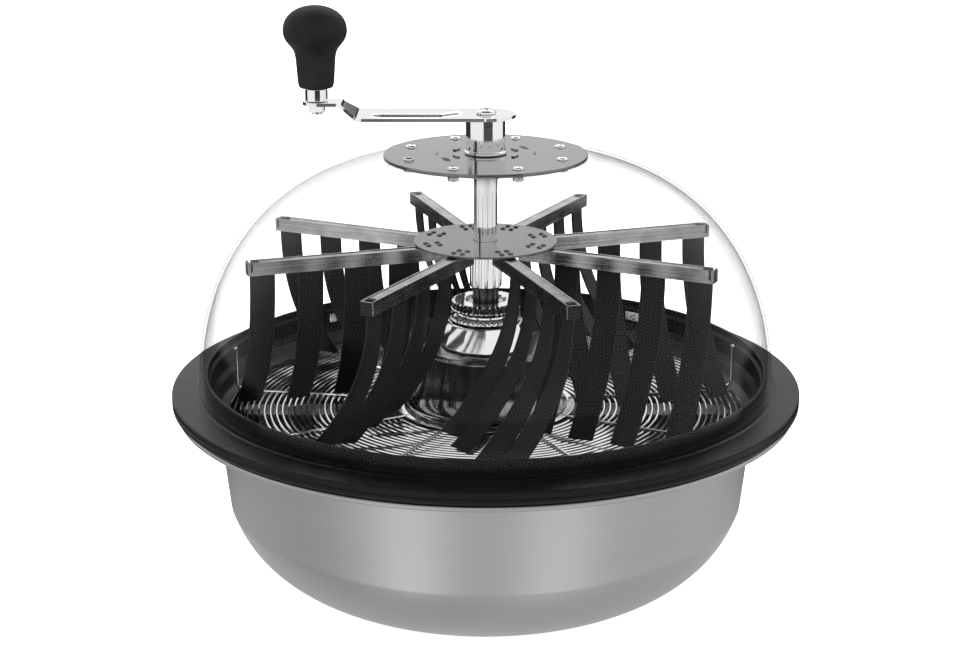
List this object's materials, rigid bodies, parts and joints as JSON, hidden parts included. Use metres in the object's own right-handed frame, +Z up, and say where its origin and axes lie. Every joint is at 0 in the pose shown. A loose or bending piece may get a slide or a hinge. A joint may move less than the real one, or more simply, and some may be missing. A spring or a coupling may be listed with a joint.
{
  "type": "hand-cranked bowl leaf trimmer",
  "caption": "Hand-cranked bowl trimmer with a clear dome lid, sweeping rubber straps over a wire grate, and a geared blade in a steel bowl.",
  "frame": {"origin": "middle of the bowl's flat foot, on the surface that it stands on", "axes": "+Z up along the crank's axis; at rest the crank arm points along -X; -Y is the front"},
  "size_m": [0.4866, 0.4866, 0.459],
  "materials": {
    "stainless": "satin spun stainless steel",
    "polished_steel": "polished",
    "brushed_steel": "brushed",
    "gear_steel": "machined and oiled",
    "bronze": "sintered bronze",
    "black_plastic": "satin moulded",
    "black_rubber": "matt",
    "clear_acrylic": "clear, polished"
  },
  "bodies": {
    "bowl": {"bowl": "stainless", "grate": "polished_steel", "grate_hook_1": "polished_steel", "grate_hook_2": "polished_steel", "gearbox_housing": "polished_steel", "gearbox_cap": "polished_steel", "gearbox_floor": "brushed_steel", "planet_pin_1": "gear_steel", "planet_pin_2": "gear_steel", "planet_pin_3": "gear_steel", "blade_bush": "bronze", "input_bush": "bronze"},
    "lid": {"lid_ring": "black_plastic", "dome": "clear_acrylic", "top_plate": "brushed_steel", "shaft_bush": "polished_steel", "plate_screw_1": "polished_steel", "plate_screw_2": "polished_steel", "plate_screw_3": "polished_steel", "plate_screw_4": "polished_steel", "plate_screw_5": "polished_steel", "plate_screw_6": "polished_steel", "plate_screw_7": "polished_steel", "plate_screw_8": "polished_steel", "dome_clip_1": "polished_steel", "dome_clip_2": "polished_steel", "dome_clip_3": "polished_steel", "dome_clip_4": "polished_steel"},
    "crank": {"main_shaft": "polished_steel", "crank_arm": "brushed_steel", "hub_screw": "polished_steel", "spider_plate": "brushed_steel", "arm_1": "brushed_steel", "arm_2": "brushed_steel", "arm_3": "brushed_steel", "arm_4": "brushed_steel", "arm_5": "brushed_steel", "arm_6": "brushed_steel", "arm_7": "brushed_steel", "arm_8": "brushed_steel", "strap_comb_1": "black_rubber", "strap_comb_2": "black_rubber", "strap_comb_3": "black_rubber", "strap_comb_4": "black_rubber", "strap_comb_5": "black_rubber", "strap_comb_6": "black_rubber", "strap_comb_7": "black_rubber", "strap_comb_8": "black_rubber", "shaft_coupling": "polished_steel", "knob_spindle": "polished_steel", "knob_nut": "polished_steel"},
    "knob": {"knob": "black_rubber"},
    "gear_input": {"input_collar": "polished_steel", "ring_gear": "gear_steel"},
    "planet_1": {"planet_gear_1": "gear_steel"},
    "planet_2": {"planet_gear_2": "gear_steel"},
    "planet_3": {"planet_gear_3": "gear_steel"},
    "blade": {"sun_gear": "gear_steel", "cutting_blade": "brushed_steel", "blade_nut": "brushed_steel"}
  },
  "joints": [
    {"name": "lid_lift", "type": "slide", "parent": "bowl", "child": "lid", "axis": [0, 0, 1], "range_m": [0, 0.25]},
    {"name": "crank_spin", "type": "hinge", "parent": "lid", "child": "crank", "pos_m": [0, 0, 0.376], "axis": [0, 0, 1], "continuous": true},
    {"name": "knob_spin", "type": "hinge", "parent": "crank", "child": "knob", "pos_m": [-0.127, 0, 0.42], "axis": [0, 0, 1], "continuous": true},
    {"name": "input_spin", "type": "hinge", "parent": "bowl", "child": "gear_input", "pos_m": [0, 0, 0.22], "axis": [0, 0, 1], "continuous": true},
    {"name": "planet_1_spin", "type": "hinge", "parent": "bowl", "child": "planet_1", "pos_m": [0, 0.027, 0.175], "axis": [0, 0, 1], "continuous": true},
    {"name": "planet_2_spin", "type": "hinge", "parent": "bowl", "child": "planet_2", "pos_m": [-0.02338, -0.0135, 0.175], "axis": [0, 0, 1], "continuous": true},
    {"name": "planet_3_spin", "type": "hinge", "parent": "bowl", "child": "planet_3", "pos_m": [0.02338, -0.0135, 0.175], "axis": [0, 0, 1], "continuous": true},
    {"name": "blade_spin", "type": "hinge", "parent": "bowl", "child": "blade", "pos_m": [0, 0, 0.141], "axis": [0, 0, 1], "continuous": true}
  ],
  "couplings": [
    {"joint": "input_spin", "follows": "crank_spin", "ratio": 1},
    {"joint": "planet_1_spin", "follows": "crank_spin", "ratio": 3},
    {"joint": "planet_2_spin", "follows": "crank_spin", "ratio": 3},
    {"joint": "planet_3_spin", "follows": "crank_spin", "ratio": 3},
    {"joint": "blade_spin", "follows": "crank_spin", "ratio": -3}
  ]
}
